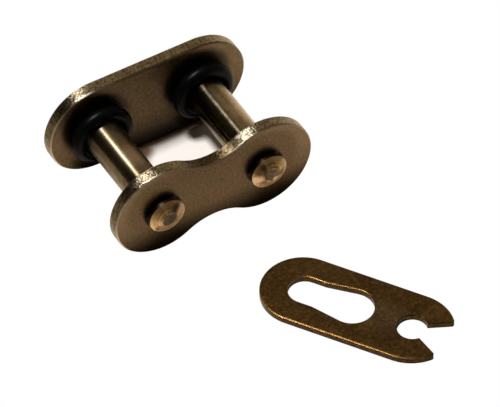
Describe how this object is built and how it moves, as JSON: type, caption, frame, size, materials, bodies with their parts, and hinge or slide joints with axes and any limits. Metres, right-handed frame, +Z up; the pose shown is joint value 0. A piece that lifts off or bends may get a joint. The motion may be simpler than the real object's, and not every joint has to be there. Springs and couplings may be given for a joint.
{
  "type": "chain connecting link",
  "caption": "Connecting link for a sealed roller chain: back plate with fixed pins and sealing rings, waisted cover plate loose on the pins, and spring clip lying beside it.",
  "frame": {"origin": "middle of the back plate's straight lower edge, on the surface the link stands on", "axes": "+X along the chain, +Y from the cover plate to the back plate along the pins, +Z up"},
  "size_m": [0.0338, 0.0562, 0.0146],
  "materials": {
    "plate_steel": "dull brown-grey, tumbled",
    "pin_steel": "ground bright, with yellowish nose",
    "black_rubber": "oiled black",
    "clip_steel": "dark brown, heat coloured"
  },
  "bodies": {
    "pinned_plate": {"back_plate": "plate_steel", "left_pin": "pin_steel", "right_pin": "pin_steel", "left_o_ring": "black_rubber", "right_o_ring": "black_rubber", "spring_clip": "clip_steel"},
    "cover": {"cover_plate": "plate_steel"}
  },
  "joints": [
    {"name": "cover_slide", "type": "slide", "parent": "pinned_plate", "child": "cover", "axis": [0, -1, 0], "range_m": [-0.0133, 0.008]}
  ]
}
